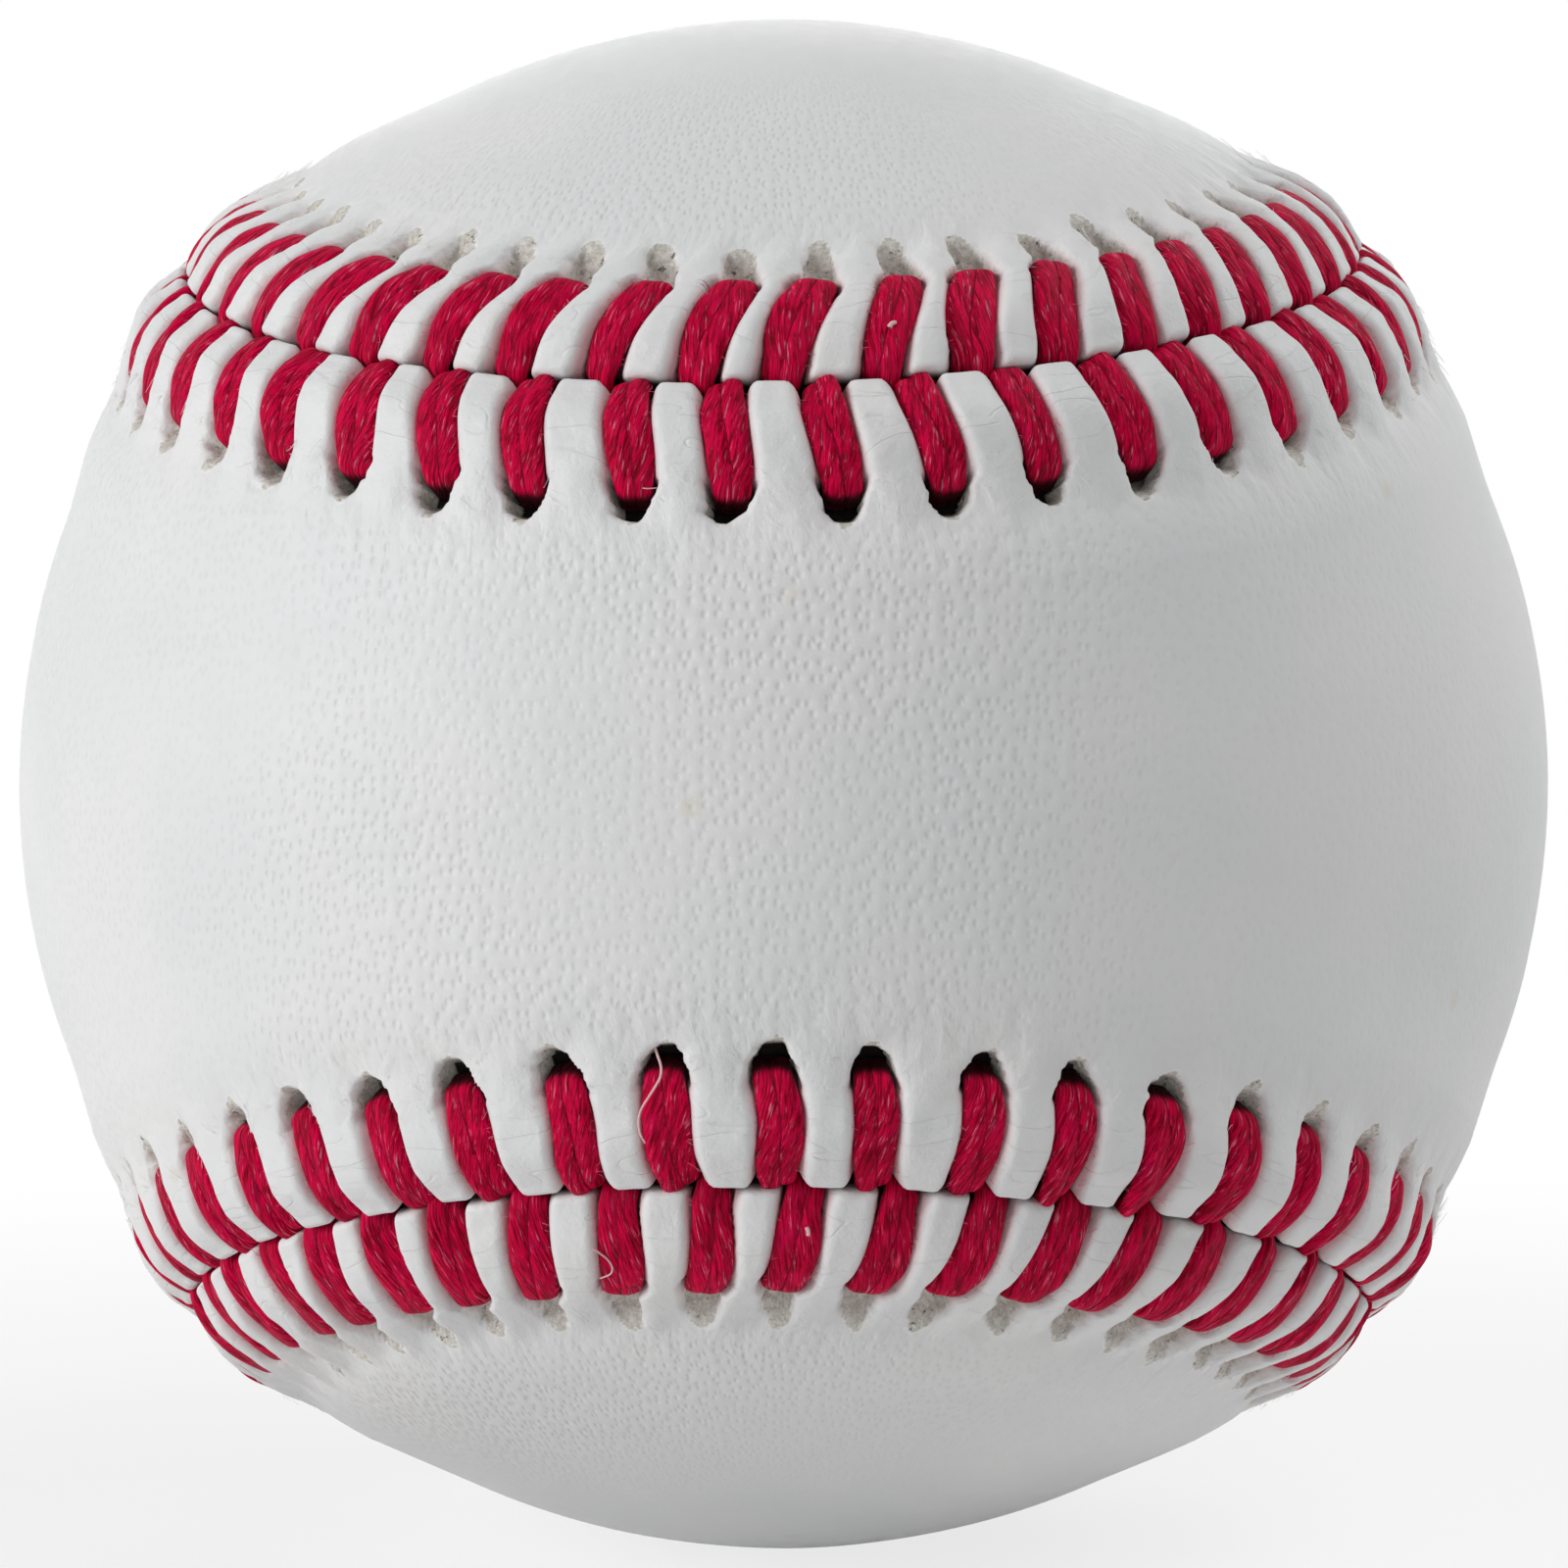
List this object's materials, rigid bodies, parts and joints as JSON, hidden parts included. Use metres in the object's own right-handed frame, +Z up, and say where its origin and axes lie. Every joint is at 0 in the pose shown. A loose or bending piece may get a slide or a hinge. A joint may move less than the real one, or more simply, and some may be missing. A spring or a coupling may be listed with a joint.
{
  "type": "baseball",
  "caption": "Leather-covered ball for bat-and-ball play: rubber and cork core, wound yarn, and two figure-eight panels laced edge to edge with red thread.",
  "frame": {"origin": "centre of the ball", "axes": "+Z up, -Y towards the viewer and +X to the viewer's right. The front panel's narrow waist faces -Y, with the seam above and below it; the back panel's waist faces +Y, with the seam on its left and right."},
  "size_m": [0.074, 0.074, 0.074],
  "materials": {
    "cork": "ground cork bound in rubber, matte, with dark and pale grains",
    "black_rubber": "moulded black rubber, dull",
    "red_rubber": "moulded brick-red rubber, dull",
    "grey_wool": "tight-wound plied wool yarn",
    "white_wool": "tight-wound plied wool yarn",
    "white_yarn": "fine polyester and cotton yarn, wound close",
    "cement": "thin dried rubber cement over yarn",
    "leather": "alum-tanned white leather, fine pores, soft satin",
    "thread": "waxed crimson cotton, two plies, slight sheen"
  },
  "bodies": {
    "root": {"cork_core": "cork", "inner_rubber_upper": "black_rubber", "inner_rubber_lower": "black_rubber", "rubber_gasket": "red_rubber", "outer_rubber": "red_rubber", "first_winding": "grey_wool", "second_winding": "white_wool", "third_winding": "grey_wool", "finish_winding": "white_yarn", "cement_coat": "cement", "cover_panel_front": "leather", "cover_panel_back": "leather", "lacing_top_front": "thread", "lacing_left_front": "thread", "lacing_bottom_front": "thread", "lacing_right_front": "thread", "lacing_top_back": "thread", "lacing_left_back": "thread", "lacing_bottom_back": "thread", "lacing_right_back": "thread"}
  },
  "joints": []
}
